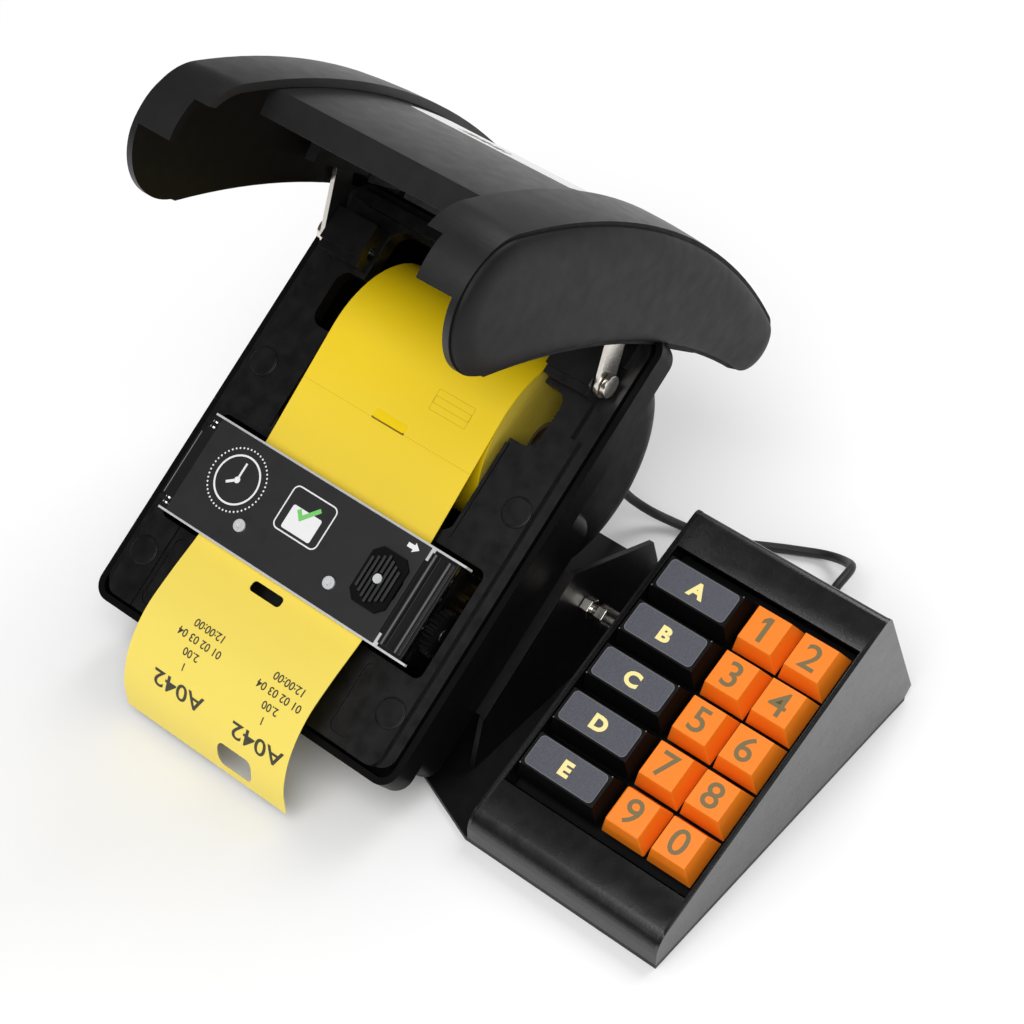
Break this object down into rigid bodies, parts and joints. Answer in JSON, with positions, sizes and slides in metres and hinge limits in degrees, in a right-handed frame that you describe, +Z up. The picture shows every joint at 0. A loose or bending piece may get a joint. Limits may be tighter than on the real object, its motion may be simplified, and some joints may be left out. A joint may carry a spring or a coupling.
{
  "type": "ticket printer",
  "caption": "Counter ticket printer with a tilted deck, winged lift-up lid, drop-in paper roll and hinged print cover, on a sheet stand with a wedge keypad beside it.",
  "frame": {"origin": "on the underside of the stand's base plate, below the middle of the printer's deck", "axes": "+X to the keypad's side, +Y to the back, +Z up; the ticket leaves towards -Y"},
  "size_m": [0.247, 0.2341, 0.2209],
  "materials": {
    "powder_black": "satin powder coat",
    "shell_black": "fine moulded texture",
    "deck_black": "smooth moulded",
    "cheek_black": "soft-touch",
    "rubber_black": "matt",
    "zinc": "bright zinc plate",
    "nickel": "bright nickel plate",
    "print_plate": "matt printed foil on sheet",
    "gloss_black": "gloss",
    "head_metal": "bare",
    "paper_yellow": "coated paper",
    "card": "bare cardboard",
    "gear_dark": "moulded",
    "brass_pinion": "machined",
    "board_green": "solder mask",
    "switch_black": "moulded",
    "key_black": "moulded",
    "key_orange": "moulded",
    "plate_dark": "dark sheet"
  },
  "bodies": {
    "base": {"stand": "powder_black", "stand_screws": "zinc", "lower_shell": "shell_black", "deck_frame": "deck_black", "deck_plugs": "deck_black", "shell_screws": "zinc", "lid_pins": "nickel", "ticket_strip": "paper_yellow", "mech_frame": "powder_black", "cover_hinge_pin": "zinc", "motor": "zinc", "control_board": "board_green", "power_inlet": "deck_black", "keypad_case": "powder_black", "keypad_base": "plate_dark", "key_plate": "plate_dark", "key_switches": "switch_black", "keypad_board": "board_green", "keypad_screws": "zinc", "keypad_studs": "zinc", "keypad_nuts": "zinc", "cord_glands": "rubber_black", "link_cord": "rubber_black"},
    "lid": {"lid_panel": "shell_black", "lid_wing_left": "shell_black", "lid_wing_right": "shell_black", "lid_cheek_left": "cheek_black", "lid_cheek_right": "cheek_black", "lid_arms": "nickel", "lid_screws": "zinc"},
    "cover": {"cover_channel": "zinc", "cover_skin": "print_plate", "cover_screws": "zinc", "latch_bar": "gloss_black", "print_head": "head_metal"},
    "latch": {"latch_button": "gloss_black"},
    "roll": {"paper_roll": "paper_yellow", "roll_core": "card"},
    "platen": {"platen_roller": "rubber_black", "platen_shaft": "zinc", "platen_gear": "gear_dark"},
    "idler": {"idler_gear": "gear_dark"},
    "pinion": {"motor_pinion": "brass_pinion"},
    "letter_key_a": {"letter_key_a": "key_black"},
    "letter_key_b": {"letter_key_b": "key_black"},
    "letter_key_c": {"letter_key_c": "key_black"},
    "letter_key_d": {"letter_key_d": "key_black"},
    "letter_key_e": {"letter_key_e": "key_black"},
    "digit_key_1": {"digit_key_1": "key_orange"},
    "digit_key_2": {"digit_key_2": "key_orange"},
    "digit_key_3": {"digit_key_3": "key_orange"},
    "digit_key_4": {"digit_key_4": "key_orange"},
    "digit_key_5": {"digit_key_5": "key_orange"},
    "digit_key_6": {"digit_key_6": "key_orange"},
    "digit_key_7": {"digit_key_7": "key_orange"},
    "digit_key_8": {"digit_key_8": "key_orange"},
    "digit_key_9": {"digit_key_9": "key_orange"},
    "digit_key_0": {"digit_key_0": "key_orange"}
  },
  "joints": [
    {"name": "lid_hinge", "type": "hinge", "parent": "base", "child": "lid", "pos_m": [0, 0.07414, 0.11876], "axis": [-1, 0, 0], "range_deg": [-73.5, 0]},
    {"name": "cover_hinge", "type": "hinge", "parent": "base", "child": "cover", "pos_m": [-0.057, -0.00637, 0.06827], "axis": [0, -0.8329, -0.5534], "range_deg": [0, 70]},
    {"name": "latch_slide", "type": "slide", "parent": "cover", "child": "latch", "axis": [1, 0, 0], "range_m": [0, 0.003], "stiffness_N_per_m": 150, "springref_m": -0.002},
    {"name": "roll_spin", "type": "hinge", "parent": "base", "child": "roll", "pos_m": [0, 0.06991, 0.07813], "axis": [1, 0, 0], "continuous": true},
    {"name": "platen_spin", "type": "hinge", "parent": "base", "child": "platen", "pos_m": [0, -0.00625, 0.05995], "axis": [1, 0, 0], "continuous": true},
    {"name": "idler_spin", "type": "hinge", "parent": "base", "child": "idler", "pos_m": [0.0568, 0.00358, 0.04535], "axis": [1, 0, 0], "continuous": true},
    {"name": "pinion_spin", "type": "hinge", "parent": "base", "child": "pinion", "pos_m": [0.0568, 0.01524, 0.05381], "axis": [1, 0, 0], "continuous": true},
    {"name": "letter_key_a_press", "type": "slide", "parent": "base", "child": "letter_key_a", "axis": [0, -0.3714, 0.9285], "range_m": [-0.0035, 0], "stiffness_N_per_m": 220, "springref_m": 0.0015},
    {"name": "letter_key_b_press", "type": "slide", "parent": "base", "child": "letter_key_b", "axis": [0, -0.3714, 0.9285], "range_m": [-0.0035, 0], "stiffness_N_per_m": 220, "springref_m": 0.0015},
    {"name": "letter_key_c_press", "type": "slide", "parent": "base", "child": "letter_key_c", "axis": [0, -0.3714, 0.9285], "range_m": [-0.0035, 0], "stiffness_N_per_m": 220, "springref_m": 0.0015},
    {"name": "letter_key_d_press", "type": "slide", "parent": "base", "child": "letter_key_d", "axis": [0, -0.3714, 0.9285], "range_m": [-0.0035, 0], "stiffness_N_per_m": 220, "springref_m": 0.0015},
    {"name": "letter_key_e_press", "type": "slide", "parent": "base", "child": "letter_key_e", "axis": [0, -0.3714, 0.9285], "range_m": [-0.0035, 0], "stiffness_N_per_m": 220, "springref_m": 0.0015},
    {"name": "digit_key_1_press", "type": "slide", "parent": "base", "child": "digit_key_1", "axis": [0, -0.3714, 0.9285], "range_m": [-0.0035, 0], "stiffness_N_per_m": 220, "springref_m": 0.0015},
    {"name": "digit_key_2_press", "type": "slide", "parent": "base", "child": "digit_key_2", "axis": [0, -0.3714, 0.9285], "range_m": [-0.0035, 0], "stiffness_N_per_m": 220, "springref_m": 0.0015},
    {"name": "digit_key_3_press", "type": "slide", "parent": "base", "child": "digit_key_3", "axis": [0, -0.3714, 0.9285], "range_m": [-0.0035, 0], "stiffness_N_per_m": 220, "springref_m": 0.0015},
    {"name": "digit_key_4_press", "type": "slide", "parent": "base", "child": "digit_key_4", "axis": [0, -0.3714, 0.9285], "range_m": [-0.0035, 0], "stiffness_N_per_m": 220, "springref_m": 0.0015},
    {"name": "digit_key_5_press", "type": "slide", "parent": "base", "child": "digit_key_5", "axis": [0, -0.3714, 0.9285], "range_m": [-0.0035, 0], "stiffness_N_per_m": 220, "springref_m": 0.0015},
    {"name": "digit_key_6_press", "type": "slide", "parent": "base", "child": "digit_key_6", "axis": [0, -0.3714, 0.9285], "range_m": [-0.0035, 0], "stiffness_N_per_m": 220, "springref_m": 0.0015},
    {"name": "digit_key_7_press", "type": "slide", "parent": "base", "child": "digit_key_7", "axis": [0, -0.3714, 0.9285], "range_m": [-0.0035, 0], "stiffness_N_per_m": 220, "springref_m": 0.0015},
    {"name": "digit_key_8_press", "type": "slide", "parent": "base", "child": "digit_key_8", "axis": [0, -0.3714, 0.9285], "range_m": [-0.0035, 0], "stiffness_N_per_m": 220, "springref_m": 0.0015},
    {"name": "digit_key_9_press", "type": "slide", "parent": "base", "child": "digit_key_9", "axis": [0, -0.3714, 0.9285], "range_m": [-0.0035, 0], "stiffness_N_per_m": 220, "springref_m": 0.0015},
    {"name": "digit_key_0_press", "type": "slide", "parent": "base", "child": "digit_key_0", "axis": [0, -0.3714, 0.9285], "range_m": [-0.0035, 0], "stiffness_N_per_m": 220, "springref_m": 0.0015}
  ],
  "couplings": [
    {"joint": "platen_spin", "follows": "roll_spin", "ratio": 4.8571},
    {"joint": "idler_spin", "follows": "roll_spin", "ratio": -4.0476},
    {"joint": "pinion_spin", "follows": "roll_spin", "ratio": 8.0952}
  ]
}
